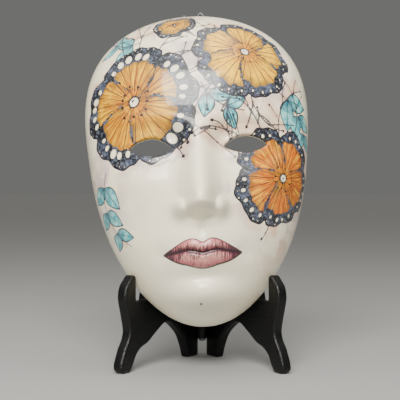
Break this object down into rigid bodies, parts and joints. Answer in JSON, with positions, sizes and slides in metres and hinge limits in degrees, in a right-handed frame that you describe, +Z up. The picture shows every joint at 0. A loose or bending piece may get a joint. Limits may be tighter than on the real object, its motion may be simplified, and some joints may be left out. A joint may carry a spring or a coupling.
{
  "type": "pottery mask on a folding display stand",
  "caption": "Hollow glazed ceramic face mask with painted flowers, leaning in the notches of a black folding easel stand.",
  "frame": {"origin": "on the surface it stands on, under the middle of the bounding box", "axes": "+Z up, the mask faces -Y, +X to the viewer's right"},
  "size_m": [0.1562, 0.1208, 0.2487],
  "materials": {
    "painted_ceramic": "soft gloss glaze over painted flowers",
    "black_lacquer": "black satin lacquer with a fine orange-peel texture",
    "steel": "dull grey wire and pin"
  },
  "bodies": {
    "root": {"mask": "painted_ceramic", "hanging_wire": "steel", "stand_leaf_left": "black_lacquer", "stand_leaf_right": "black_lacquer", "hinge_pin": "steel"}
  },
  "joints": []
}
